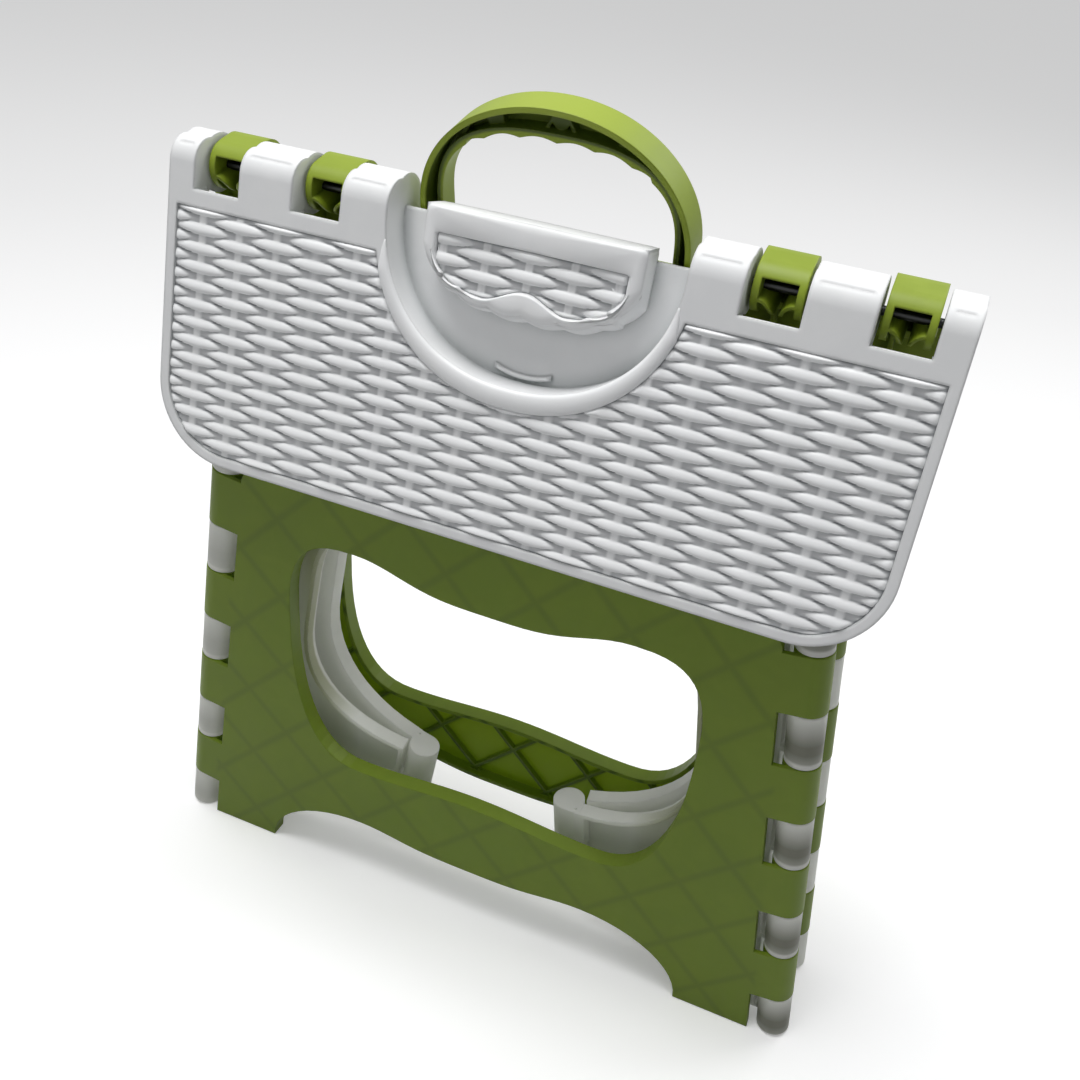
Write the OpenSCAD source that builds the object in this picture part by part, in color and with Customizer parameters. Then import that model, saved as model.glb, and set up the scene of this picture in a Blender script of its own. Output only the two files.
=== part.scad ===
// Folding step stool: two seat halves, two leg panels and two folding side panels on hinge pins.
// Drawn part-folded and standing on Z = 0. X runs across the stool and -Y is the front.

/* [Fold] */
// Tilt of each seat half from upright as drawn, in degrees
fold_angle = 12; // [9:0.5:30]
// Distance along a seat half from the centre hinge to the leg's pivot
link_length = 106.5; // [102:0.5:107]

/* [Seat] */
// Width of the seat
seat_width = 290; // [285:1:300]
// Length of one seat half from the centre hinge to its outer edge
seat_reach = 113.5; // [113.5:0.5:120]
// Depth of the centre hinge below the seat's face
hinge_depth = 15.6; // [15.4:0.1:17]
// How much deeper under the face the leg's pivot sits
pivot_drop = 3.2; // [2.6:0.1:3.6]
// Depth of the rim round each seat half
seat_rim_depth = 9; // [7.5:0.25:9]
// Wall thickness of the seat
seat_wall = 2.5; // [2:0.1:3]
// Corner radius of the seat
seat_corner = 31; // [20:1:36]
// Depth of the woven field below the border
weave_depth = 1.2; // [0.8:0.1:1.4]
// Width of the flat border round the woven field
border_width = 4; // [3.5:0.5:6]

/* [Handle] */
// Half the outer width of the handle
handle_half_width = 50.5; // [48:0.5:51.5]
// Height of the handle above the hinge line
handle_height = 43.2; // [43:0.2:46]
// Thickness of the handle
handle_thickness = 13.6; // [12:0.2:13.6]
// Radial width of the handle at its foot
handle_foot = 7; // [5.5:0.25:7]
// Radial width of the handle at the grip
handle_grip = 12.8; // [11:0.2:13]

/* [Legs] */
// Height of the leg pivots above the floor
pivot_height = 223.6; // [222.6:0.2:240]
// Distance from the middle to a column hinge at the floor
column_spread = 152.8; // [150:0.2:160]
// Lean of each column towards the middle, in degrees
splay_angle = 7.7; // [6:0.1:8]
// Outer radius of the leg's knuckles
column_radius = 7.5; // [7:0.1:8]
// Wall thickness of the legs
leg_wall = 2; // [1.8:0.1:2.5]
// Depth of the leg's flanges
leg_depth = 7.5; // [6:0.25:7.5]
// How much higher the rear leg's lower bar sits
rear_bar_lift = 11; // [0:1:12]
// How much higher the opening under it reaches
rear_arch_lift = 12.6; // [0:0.2:14]

/* [Side panels] */
// Thickness of a side half-panel
side_depth = 7.3; // [5:0.1:7.3]
// Wall thickness of a side half-panel
side_wall = 2; // [1.6:0.1:2.5]
// Outer radius of the side panel's knuckles
side_radius = 7.3; // [6.5:0.1:7.3]

/* [Pins] */
// Radius of the hinge pins
pin_radius = 1.6; // [1.5:0.1:2]
// Gap between a pin and its hole
pin_gap = 0.06; // [0.03:0.01:0.09]

/* [Hidden] */
$fn = 64;
face_y = -hinge_depth;
leg_gap = link_length * sin(fold_angle) - pivot_drop * cos(fold_angle);
hinge_height = pivot_height + link_length * cos(fold_angle) + pivot_drop * sin(fold_angle);
// The side panels' hinges are as far apart as the seat's, so that the stool closes exactly
link_span = norm([link_length, pivot_drop]);
seat_half = seat_width / 2;
slack = 0.6;
// Room beside each slot for the other half's knuckle
slot_side = 1;
slot_depth = 10;
tray_rib = 1.5;
tray_rib_pitch = 20;
tray_rib_rows = [-80, -45];

// Hinge line of the seat: knuckles from the recess out to the edge of the seat
knuckle_reach = 9;
front_knuckle_back = 11;
hollow_top = 6;
slot_bottom = -9.5;
front_knuckles = [[54.5, 72.8], [92.8, 114.8], [134.1, seat_half]];
rear_knuckles = [[74.2, 91.4], [116.2, 132.7]];
pin_seat_from = 57;
pin_seat_to = seat_half - 2.5;

// Recess, island and handle follow one family of rounded D curves
recess_half_width = 54.5;
recess_reach = 52;
recess_power = 2.15;
handle_clear = 0.4;
handle_back_y = face_y + handle_thickness;
recess_floor_y = handle_back_y + handle_clear;
bead_half_width = 58.5;
bead_reach = 59.5;
weave_top = -15.8;
handle_power = 2.05;
handle_inner_power = 2.7;
handle_lip = 4;
handle_wall = 2;
rib_inset = 7.6;
handle_rib = 1.2;
handle_rib_length = 40;
handle_rib_lean = 30;
boss_radius = 3.3;
boss_places = [-24, 0, 24];
handle_inner_width = handle_half_width - handle_foot;
handle_inner_height = handle_height - handle_grip;
grip_waves = 5;
grip_pitch = 13.3;
grip_depth = 1.2;
island_half_width = 40;
island_sink = 1.6;
island_top = 4;
island_layers = 7;
island_gap = 1;
// The island's woven field: a deep D whose lower edge swells up in the middle
field_half_width = 35.5;
field_reach = 24;
field_power = 4;
field_top = -4.9;
field_swell = 5.2;
field_swell_half = 16;
floor_top = -0.4;
smile_radius = 31.5;
smile_reach = 51;
smile_half = 11;
smile_width = 1.9;
smile_height = 1;
handle_root = 8;
// Curved walls inside the green knuckles
scoop_height = 9;
scoop_wall = 1.2;
scoop_slot = 0.7;

// Leg pivots
leg_knuckle = [73, 101];
lug_thickness = 3;
lug_radius = 5.5;
pivot_pin_radius = 2;

// Columns: white and green knuckles share one pitch along the hinge
knuckle_pitch = 53;
white_top = 23.6;
white_length = 24.7;
foot_clear = 1.05;
// The topmost white knuckle is cut short
top_knuckle = 9.1;
column_top = white_top + 4 * knuckle_pitch - white_length + top_knuckle;
notch_inset = 10.5;

// Leg outline
foot_inner = 107;
arch_peak_x = 57;
arch_peak = 33.2;
arch_middle = 28.6;
window_top_x = 61;
window_top = 189.2;
window_top_middle = 180;
window_mid_height = 147;
window_half_width = 93;
window_bottom_x = 57;
window_bottom = 67;
window_bottom_middle = 70.5;
window_power = 2.5;
shoulder_power = 2.9;
leg_top = 217;
shoulder_drop = 8;
shoulder_width = 4;
diamond_w = 39;
diamond_h = 40;
diamond_base = 54.4;
rib_thickness = 1.8;
rib_depth = 4.5;

// Side half-panels lie flat against each other when the stool is shut
shut_gap = 7.9;
shut_tilt = asin(shut_gap / link_span);
drawn_tilt = asin(leg_gap / link_span);
mid_x = link_span * cos(shut_tilt);
mid_y = link_span * sin(shut_tilt);
side_face = 0.3;
body_start = 9.2;
arm_end = mid_x - side_radius - 1;
cut_half_width = 63;
cut_middle = 139;
cut_below = 53.3;
cut_below_power = 2.3;
cut_above = 57;
cut_above_power = 6;
side_top = column_top - 3;
mid_top = column_top - 6;
side_foot = 30;
side_foot_z = 5.5;
side_arch = 36;
side_arch_x = 65;
lower_split = 66;
lower_end = 45;
upper_split = column_top - 14.8;
upper_start = column_top - 23;
lower_top = cut_middle - cut_below;
// Plastic left over the blind end of each mid hinge
mid_cap = 2;

white = [0.95, 0.95, 0.93];
green = [0.56, 0.67, 0.22];
leg_green = [0.36, 0.44, 0.18];
milky = [0.85, 0.86, 0.84];
steel = [0.45, 0.46, 0.47];

// Curves

// Height of a rounded D of half width a and height b at distance x from its middle
function d_height(x, a, b, power) = b * pow(max(0, 1 - pow(abs(x) / a, power)), 1 / power);

// Points of a quarter of a rounded D about a corner centre, from the x side to the z side
function quarter(cx, cz, a, b, power, steps) =
  [for (i = [0:steps]) let (t = 90 * i / steps)
    [cx + a * pow(cos(t), 2 / power), cz + b * pow(sin(t), 2 / power)]];

// The same list walked backwards
function reversed(list) = [for (i = [len(list) - 1:-1:0]) list[i]];

// A half outline and its mirror image as one closed outline
function both_sides(list) = concat(list, [for (p = reversed(list)) [-p[0], p[1]]]);

// Wave of a leg's edge: level in the middle of the bar and cresting at x = peak
function crest(x, peak, middle, top) = middle + (top - middle) * pow(sin(90 * x / peak), 4);

// Outline of the window, grown by g. Lift raises its lower edge.
function window_points(g, lift) = both_sides(concat(
  [for (x = [0:6:window_bottom_x - 3])
    [x, window_bottom + lift - g + (window_bottom_middle - window_bottom)
      * pow(cos(90 * x / window_bottom_x), 2)]],
  reversed(quarter(window_bottom_x, window_mid_height, window_half_width - window_bottom_x + g,
    -(window_mid_height - window_bottom - lift + g), window_power, 14)),
  quarter(window_top_x, window_mid_height, window_half_width - window_top_x + g,
    window_top - window_mid_height + g, shoulder_power, 12),
  [for (x = [window_top_x - 5:-5:1]) [x, g + crest(x, window_top_x, window_top_middle, window_top)]]
));

// Outline of the opening under the lower bar, grown by g
function arch_points(g, lift) = both_sides(concat(
  [[foot_inner + g, -5]],
  quarter(arch_peak_x, 0, foot_inner - arch_peak_x + g, arch_peak + lift + g, 2, 12),
  [for (x = [arch_peak_x - 5:-5:1]) [x, g + lift + crest(x, arch_peak_x, arch_middle, arch_peak)]]
));

// Inner edge of the handle with its finger waves
function grip_edge(x) = d_height(x, handle_inner_width, handle_inner_height, handle_inner_power)
  + (abs(x) < grip_pitch * grip_waves / 2 ? grip_depth * abs(sin(180 * x / grip_pitch)) : 0);

// Lower edge of the island's woven field at x
function field_edge(x) = -d_height(x, field_half_width, field_reach, field_power)
  + (abs(x) < field_swell_half ? field_swell * pow(cos(90 * x / field_swell_half), 2) : 0);

// Lower edge of the island at x, for a layer whose farthest depth from the hinge is y
function island_edge(x, y) = sqrt(max(0,
  pow(norm([grip_edge(x), handle_back_y - handle_lip]) - island_gap, 2) - y * y));

// Basic shapes

// Extrudes a shape drawn in X and Z from y = from to y = to
module slab(from, to) {
  translate([0, to, 0]) rotate([90, 0, 0]) linear_extrude(to - from) children();
}

// Extrudes a shape drawn in Y and Z from x = from to x = to
module bar(from, to) {
  translate([from, 0, 0]) rotate([90, 0, 90]) linear_extrude(to - from) children();
}

// A cylinder along X
module rod(from, to, radius) {
  translate([from, 0, 0]) rotate([0, 90, 0]) cylinder(h = to - from, r = radius);
}

// A rounded D standing on the line z = 0 and pointing down
module d_shape(a, b, power) {
  polygon([for (i = [-40:40]) let (x = a * sin(90 * i / 40)) [x, -d_height(x, a, b, power)]]);
}

// Seat

// Outline of a seat half, drawn in by g
module seat_outline(g, top) {
  r = seat_corner - g;
  for (s = [-1, 1]) {
    translate([s * (seat_half - seat_corner), seat_corner - seat_reach]) circle(r);
  }
  translate([g - seat_half, seat_corner - seat_reach])
    square([seat_width - 2 * g, seat_reach - seat_corner + top]);
  translate([seat_corner - seat_half, g - seat_reach])
    square([seat_width - 2 * seat_corner, seat_corner]);
}

// Section of a seat knuckle: rounded at the seat's face and round the hinge
module knuckle_section(back) {
  translate([face_y + knuckle_reach, 0]) circle(knuckle_reach);
  circle(back);
  translate([face_y + knuckle_reach, -knuckle_reach])
    square([hinge_depth - knuckle_reach, 2 * knuckle_reach]);
  translate([face_y, slot_bottom - 1]) square([seat_rim_depth, 1 - slot_bottom]);
}

// One hollow knuckle, open on the side away from the seat's face
module seat_knuckle(from, to, back) {
  difference() {
    bar(from, to) knuckle_section(back);
    bar(from + seat_wall, to - seat_wall) translate([face_y + seat_wall, slot_bottom - 5])
      square([hinge_depth + back, hollow_top - slot_bottom + 5]);
  }
}

// The part of the seat that both halves share: tray, rim and ribs
module seat_tray(knuckles, slots, back, recessed) {
  difference() {
    slab(face_y, face_y + seat_rim_depth) seat_outline(0, slot_bottom);
    slab(face_y + seat_wall, 0) seat_outline(seat_wall, slot_bottom - seat_wall);
    slab(face_y - 1, face_y + weave_depth) difference() {
      seat_outline(border_width, weave_top);
      if (recessed) d_shape(bead_half_width, bead_reach, recess_power);
    }
    slab(face_y + seat_wall, 0) for (k = slots, s = [-1, 1]) {
      translate([s * (k[0] + k[1]) / 2, slot_bottom])
        square([k[1] - k[0] + 2 * slot_side, slot_depth], center = true);
    }
  }
  slab(face_y + seat_wall - 0.1, face_y + seat_rim_depth - 0.5) intersection() {
    seat_outline(seat_wall, slot_bottom - seat_wall);
    union() {
      for (i = [-6:6])
        translate([i * tray_rib_pitch - tray_rib / 2, -seat_reach]) square([tray_rib, seat_reach]);
      for (z = tray_rib_rows) translate([-seat_half, z]) square([seat_width, tray_rib]);
    }
  }
  for (k = knuckles) {
    seat_knuckle(k[0], k[1], back);
    seat_knuckle(-k[1], -k[0], back);
  }
}

// Lugs under the seat that carry a leg's pivot pins
module seat_lugs() {
  for (s = [-1, 1]) for (x = [leg_knuckle[0] - 0.5 - lug_thickness, leg_knuckle[1] + 0.5]) {
    translate([0, 0, -link_length])
      bar(min(s * x, s * (x + lug_thickness)), max(s * x, s * (x + lug_thickness))) {
        translate([pivot_drop, 0]) circle(lug_radius);
        translate([face_y + seat_wall - 0.1, -lug_radius])
          square([hinge_depth - seat_wall + pivot_drop, 2 * lug_radius]);
      }
  }
}

// Holes for the centre hinge pins and the leg pivot pins
module seat_bores() {
  for (s = [-1, 1]) {
    rod(min(s * pin_seat_from, s * pin_seat_to), max(s * pin_seat_from, s * pin_seat_to),
      pin_radius + pin_gap);
  }
  translate([0, pivot_drop, -link_length]) rod(-leg_knuckle[1] - 10, leg_knuckle[1] + 10,
    pivot_pin_radius + pin_gap);
}

// Raised island in the recess, stepped back so that the handle swings past it
module island(inset, from, to) {
  top = face_y + island_sink;
  step = (recess_floor_y - top) / island_layers;
  half = island_half_width - inset;
  for (i = [0:island_layers - 1]) {
    y0 = top + i * step;
    last = i == island_layers - 1;
    if (last || y0 + step > from + 0.1) slab(max(y0, from), last ? to : y0 + step + 0.01)
      polygon(concat([[half, island_top - inset], [-half, island_top - inset]],
        [for (j = [-20:20]) let (x = half * j / 20) [x, inset - island_edge(abs(x), -y0)]]));
  }
}

module seat_front_local() {
  difference() {
    union() {
      difference() {
        union() {
          seat_tray(front_knuckles, rear_knuckles, front_knuckle_back, true);
          slab(face_y, recess_floor_y + seat_wall)
            d_shape(recess_half_width + seat_wall, recess_reach + seat_wall, recess_power);
          for (x = [-recess_half_width - seat_wall, recess_half_width]) {
            bar(x, x + seat_wall) knuckle_section(front_knuckle_back);
          }
        }
        slab(face_y - 1, recess_floor_y) {
          d_shape(recess_half_width, recess_reach, recess_power);
          translate([-recess_half_width, -0.1]) square([2 * recess_half_width, 20]);
        }
        slab(recess_floor_y - 0.1, hinge_depth)
          translate([-recess_half_width, floor_top]) square([2 * recess_half_width, 20]);
      }
      island(0, face_y, recess_floor_y + 0.5);
      slab(recess_floor_y - smile_height, recess_floor_y + 0.1) intersection() {
        translate([0, smile_radius - smile_reach]) difference() {
          circle(smile_radius);
          circle(smile_radius - smile_width);
        }
        translate([-smile_half, -smile_reach - 1]) square([2 * smile_half, smile_radius]);
      }
      seat_lugs();
    }
    island(seat_wall, face_y + island_sink + seat_wall, 5);
    slab(face_y - 1, face_y + island_sink + weave_depth) {
      edge = field_half_width - 0.5;
      polygon(concat([[edge, field_top], [-edge, field_top]],
        [for (j = [-14:14]) let (x = edge * j / 14) [x, field_edge(x)]]));
    }
    seat_bores();
  }
}

// Inner edge of the handle's channel
module handle_floor_edge() {
  d_shape(handle_inner_width + handle_wall, handle_inner_height + grip_depth + handle_wall,
    handle_inner_power);
}

// The handle: an open channel with a low inner wall, ribs and three bosses
module handle() {
  difference() {
    slab(face_y, handle_back_y) mirror([0, 1]) difference() {
      d_shape(handle_half_width, handle_height, handle_power);
      polygon([for (i = [-60:60]) let (x = handle_inner_width * sin(90 * i / 60))
        [x, abs(i) == 60 ? 0 : -grip_edge(x)]]);
    }
    slab(face_y + handle_wall, handle_back_y + 1) mirror([0, 1]) difference() {
      d_shape(handle_half_width - handle_wall, handle_height - handle_wall, handle_power);
      handle_floor_edge();
    }
    slab(handle_back_y - handle_lip, handle_back_y + 1) mirror([0, 1]) handle_floor_edge();
  }
  slab(face_y + 1, handle_back_y - rib_inset) intersection() {
    mirror([0, 1]) difference() {
      d_shape(handle_half_width - 1, handle_height - 1, handle_power);
      d_shape(handle_inner_width + 1, handle_inner_height + grip_depth + 1, handle_inner_power);
    }
    for (i = [-3:2]) translate([(i + 0.5) * grip_pitch, handle_inner_height])
      rotate(i % 2 == 0 ? handle_rib_lean : -handle_rib_lean)
        square([handle_rib, handle_rib_length], center = true);
  }
  for (x = boss_places) {
    middle = (grip_edge(x) + d_height(x, handle_half_width, handle_height, handle_power)) / 2;
    translate([x, handle_back_y - rib_inset, middle]) rotate([90, 0, 0])
      cylinder(h = handle_thickness - rib_inset - 1, r = boss_radius);
  }
}

// Two curved walls that funnel a green knuckle's opening
module scoops(from, to) {
  reach = (to - from) / 2 - seat_wall - scoop_slot;
  intersection() {
    bar(from, to) knuckle_section(knuckle_reach);
    slab(face_y + seat_wall - 0.1, knuckle_reach) for (c = [[from, 1], [to, -1]]) {
      corner = c[0] + c[1] * seat_wall;
      polygon(concat(
        quarter(corner, slot_bottom, c[1] * reach, scoop_height, 2, 8),
        reversed(quarter(corner, slot_bottom, c[1] * (reach - scoop_wall), scoop_height - scoop_wall, 2, 8))));
    }
  }
}

module seat_rear_local() {
  foot_from = slot_bottom - handle_root;
  difference() {
    union() {
      seat_tray(rear_knuckles, front_knuckles, knuckle_reach, false);
      for (k = rear_knuckles) {
        scoops(k[0], k[1]);
        scoops(-k[1], -k[0]);
      }
      slab(face_y, handle_back_y) for (x = [handle_inner_width, -handle_half_width])
        translate([x, foot_from]) square([handle_foot, -foot_from]);
      seat_lugs();
    }
    slab(face_y + handle_wall, handle_back_y + 1)
      for (x = [handle_inner_width, -handle_half_width])
        translate([x + handle_wall, slot_bottom])
          square([handle_foot - 2 * handle_wall, -slot_bottom]);
    slab(handle_back_y - handle_lip, handle_back_y + 1)
      translate([-handle_inner_width - handle_wall, slot_bottom])
        square([2 * (handle_inner_width + handle_wall), -slot_bottom]);
    seat_bores();
  }
  handle();
}

// Places a seat half in the stool
module seat_place(s) {
  translate([0, 0, hinge_height]) mirror([0, s > 0 ? 1 : 0, 0]) rotate([-fold_angle, 0, 0]) children();
}

// Legs

// Everything on a column's hinge line, with z along the hinge
module column_place(s) {
  translate([s * column_spread, 0, 0]) rotate([0, -s * splay_angle, 0]) children();
}

// Where knuckle number k of the side panel starts and ends
function white_from(k) = k == 0 ? foot_clear : white_top + k * knuckle_pitch - white_length;
function white_to(k) = k == 4 ? column_top : white_top + k * knuckle_pitch;

// Outline of a leg panel up to the notches, drawn in by g
module leg_outline(g) {
  edge = column_spread - notch_inset - g;
  top = leg_top - g;
  shoulder = top - shoulder_drop;
  corner = edge - tan(splay_angle) * shoulder;
  polygon([[-edge, g], [edge, g], [corner, shoulder], [corner - shoulder_width, top],
    [shoulder_width - corner, top], [-corner, shoulder]]);
}

// Crossing ribs of the diamond lattice
module lattice(lift) {
  angle = atan(diamond_h / diamond_w);
  for (i = [-8:8]) for (s = [-1, 1]) {
    translate([i * diamond_w, diamond_base + lift]) rotate(s * angle)
      square([600, rib_thickness], center = true);
  }
}

// One leg panel with its outer face at y = -column_radius
module leg_local(lift, arch_lift) {
  outer = -column_radius;
  difference() {
    union() {
      slab(outer, outer + leg_wall) leg_outline(0);
      for (s = [-1, 1]) column_place(s) for (k = [0:3]) {
        translate([s > 0 ? -notch_inset - 1 : 0, outer, white_to(k) + slack])
          cube([notch_inset + 1, leg_wall, white_from(k + 1) - white_to(k) - 2 * slack]);
        translate([0, 0, white_to(k) + slack])
          cylinder(h = white_from(k + 1) - white_to(k) - 2 * slack, r = column_radius);
      }
      slab(outer + leg_wall - 0.1, outer + rib_depth) intersection() {
        leg_outline(1);
        difference() {
          lattice(lift);
          polygon(window_points(0.5, lift));
          polygon(arch_points(0.5, arch_lift));
        }
      }
      slab(outer + leg_wall - 0.1, outer + rib_depth) difference() {
        leg_outline(0);
        leg_outline(leg_wall);
      }
      slab(outer, outer + leg_depth) intersection() {
        leg_outline(0);
        union() {
          polygon(window_points(leg_wall, lift));
          difference() {
            polygon(arch_points(leg_wall, arch_lift));
            translate([-200, -10]) square([400, 10]);
          }
        }
      }
      for (s = [-1, 1]) translate([0, 0, pivot_height]) {
        rod(min(s * leg_knuckle[0], s * leg_knuckle[1]), max(s * leg_knuckle[0], s * leg_knuckle[1]),
          column_radius);
        translate([min(s * leg_knuckle[0], s * leg_knuckle[1]), outer, leg_top - pivot_height - 2])
          cube([leg_knuckle[1] - leg_knuckle[0], leg_wall + 2, pivot_height - leg_top + 2]);
      }
    }
    slab(outer - 1, column_radius) polygon(window_points(0, lift));
    slab(outer - 1, column_radius) polygon(arch_points(0, arch_lift));
    for (s = [-1, 1]) column_place(s) cylinder(h = 600, r = pin_radius + pin_gap, center = true);
    translate([0, 0, pivot_height]) rod(-leg_knuckle[1] - 1, leg_knuckle[1] + 1,
      pivot_pin_radius + pin_gap);
  }
}

// Places a leg panel in the stool
module leg_place(s) {
  translate([0, s * leg_gap, 0]) mirror([0, s > 0 ? 1 : 0, 0]) children();
}

// Side half-panels, drawn flat: x runs from the column hinge to the mid hinge, z along the hinges

// Outline of the half-panel without its knuckles, drawn in by g
module side_outline(g) {
  difference() {
    polygon(concat(
      [[body_start + g, side_top - g], [body_start + g, side_foot_z + g]],
      quarter(side_arch_x, side_foot_z + g, side_foot - side_arch_x - g, side_arch - side_foot_z, 2, 8),
      [[arm_end - g, side_arch + g], [arm_end - g, side_top - g]]));
    polygon(concat(
      quarter(mid_x, cut_middle, -cut_half_width - g, -cut_below - g, cut_below_power, 14),
      [[mid_x + 5, cut_middle - cut_below - g], [mid_x + 5, cut_middle + cut_above + g]],
      reversed(quarter(mid_x, cut_middle, -cut_half_width - g, cut_above + g, cut_above_power, 14))));
  }
}

// Knuckles of the mid hinge: the odd halves carry the outer ones, the even halves the inner ones
function mid_knuckles(odd) = odd
  ? [[lower_end, lower_split - 0.3], [upper_split + 0.3, mid_top]]
  : [[lower_split + 0.3, lower_top], [upper_start, upper_split - 0.3]];

// One half-panel as drawn for the left front: the plate faces the stool's middle plane
module side_local(odd) {
  back = side_face + side_depth;
  difference() {
    union() {
      slab(back - side_wall, back) side_outline(0);
      slab(side_face, back) difference() {
        side_outline(0);
        side_outline(side_wall);
      }
      for (k = [0:4]) {
        low = max(white_from(k), side_foot_z);
        high = min(white_to(k), side_top);
        translate([0, 0, white_from(k)])
          cylinder(h = white_to(k) - white_from(k), r = side_radius);
        translate([0, back - side_wall, low]) cube([body_start + 1, side_wall, high - low]);
        translate([0, side_face, low]) cube([body_start + 1, side_depth, side_wall]);
        translate([0, side_face, high - side_wall]) cube([body_start + 1, side_depth, side_wall]);
      }
      for (m = mid_knuckles(odd)) translate([0, 0, m[0]]) {
        translate([mid_x, mid_y, 0]) cylinder(h = m[1] - m[0], r = side_radius);
        translate([arm_end - 2, mid_y - side_radius, 0]) cube([mid_x - arm_end + 2, side_wall, m[1] - m[0]]);
        translate([arm_end - 3, side_face, 0]) cube([5, side_depth, m[1] - m[0]]);
      }
    }
    cylinder(h = 600, r = pin_radius + pin_gap, center = true);
    for (m = [[lower_end - 1, lower_top - mid_cap], [upper_start + mid_cap, mid_top + 1]]) {
      translate([mid_x, mid_y, m[0]]) cylinder(h = m[1] - m[0], r = pin_radius + pin_gap);
    }
  }
}

// Places a half-panel or its pins: sx and sy name the quarter of the stool
module side_place(sx, sy) {
  mirror([sx > 0 ? 1 : 0, 0, 0]) mirror([0, sy > 0 ? 1 : 0, 0])
    translate([-column_spread, -leg_gap, 0]) rotate([0, splay_angle, 0])
      rotate([0, 0, drawn_tilt - shut_tilt]) children();
}

// Pins

module column_pin() {
  translate([0, 0, white_from(0) + 1.5])
    cylinder(h = column_top - 1.5 - white_from(0) - 1.5, r = pin_radius);
}

module mid_pin(from, to) {
  translate([mid_x, mid_y, from + 1]) cylinder(h = to - from - 2, r = pin_radius);
}

module pivot_pin(s) {
  reach = leg_knuckle[1] + 0.5 + lug_thickness;
  start = leg_knuckle[0] - 0.5 - lug_thickness;
  translate([0, 0, pivot_height]) rod(min(s * start, s * reach), max(s * start, s * reach),
    pivot_pin_radius);
}

module seat_pin(s) {
  rod(min(s * (pin_seat_from + 0.5), s * (pin_seat_to - 0.5)),
    max(s * (pin_seat_from + 0.5), s * (pin_seat_to - 0.5)), pin_radius);
}

// Nodes

module seat_front() { color(white) seat_place(-1) seat_front_local(); }
module seat_rear() { color(green) seat_place(1) seat_rear_local(); }
module leg_front() { color(leg_green) leg_place(-1) leg_local(0, 0); }
module leg_rear() { color(leg_green) leg_place(1) leg_local(rear_bar_lift, rear_arch_lift); }
module side_left_front() { color(milky) side_place(-1, -1) side_local(true); }
module side_left_rear() { color(milky) side_place(-1, 1) side_local(false); }
module side_right_front() { color(milky) side_place(1, -1) side_local(false); }
module side_right_rear() { color(milky) side_place(1, 1) side_local(true); }
module seat_pin_left() { color(steel) seat_place(-1) seat_pin(-1); }
module seat_pin_right() { color(steel) seat_place(-1) seat_pin(1); }
module pivot_pin_front_left() { color(steel) leg_place(-1) pivot_pin(-1); }
module pivot_pin_front_right() { color(steel) leg_place(-1) pivot_pin(1); }
module pivot_pin_rear_left() { color(steel) leg_place(1) pivot_pin(-1); }
module pivot_pin_rear_right() { color(steel) leg_place(1) pivot_pin(1); }
module column_pin_front_left() { color(steel) side_place(-1, -1) column_pin(); }
module column_pin_front_right() { color(steel) side_place(1, -1) column_pin(); }
module column_pin_rear_left() { color(steel) side_place(-1, 1) column_pin(); }
module column_pin_rear_right() { color(steel) side_place(1, 1) column_pin(); }
module mid_pin_left_lower() { color(steel) side_place(-1, -1) mid_pin(lower_end, lower_top - mid_cap); }
module mid_pin_left_upper() { color(steel) side_place(-1, -1) mid_pin(upper_start + mid_cap, mid_top); }
module mid_pin_right_lower() { color(steel) side_place(1, -1) mid_pin(lower_end, lower_top - mid_cap); }
module mid_pin_right_upper() { color(steel) side_place(1, -1) mid_pin(upper_start + mid_cap, mid_top); }

seat_front();
seat_rear();
leg_front();
leg_rear();
side_left_front();
side_left_rear();
side_right_front();
side_right_rear();
seat_pin_left();
seat_pin_right();
pivot_pin_front_left();
pivot_pin_front_right();
pivot_pin_rear_left();
pivot_pin_rear_right();
column_pin_front_left();
column_pin_front_right();
column_pin_rear_left();
column_pin_rear_right();
mid_pin_left_lower();
mid_pin_left_upper();
mid_pin_right_lower();
mid_pin_right_upper();
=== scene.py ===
import math

import bmesh
import bpy
from mathutils import Matrix, Vector


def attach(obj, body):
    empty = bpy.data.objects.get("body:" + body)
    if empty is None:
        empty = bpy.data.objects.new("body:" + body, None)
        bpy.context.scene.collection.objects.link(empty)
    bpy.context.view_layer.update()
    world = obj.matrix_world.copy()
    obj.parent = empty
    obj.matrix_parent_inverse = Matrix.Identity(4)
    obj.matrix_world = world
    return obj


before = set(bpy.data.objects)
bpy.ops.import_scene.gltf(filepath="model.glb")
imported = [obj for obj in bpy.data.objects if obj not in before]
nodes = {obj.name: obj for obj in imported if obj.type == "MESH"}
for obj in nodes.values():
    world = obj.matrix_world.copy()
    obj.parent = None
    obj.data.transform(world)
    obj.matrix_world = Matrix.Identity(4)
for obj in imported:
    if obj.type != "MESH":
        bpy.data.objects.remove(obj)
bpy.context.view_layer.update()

scene = bpy.context.scene
MM = 0.001

# Sizes shared with the solids, in millimetres. On a seat half, x runs along the hinge, heights
# below the hinge are negative, and depths are square to the face and negative outward.

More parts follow.
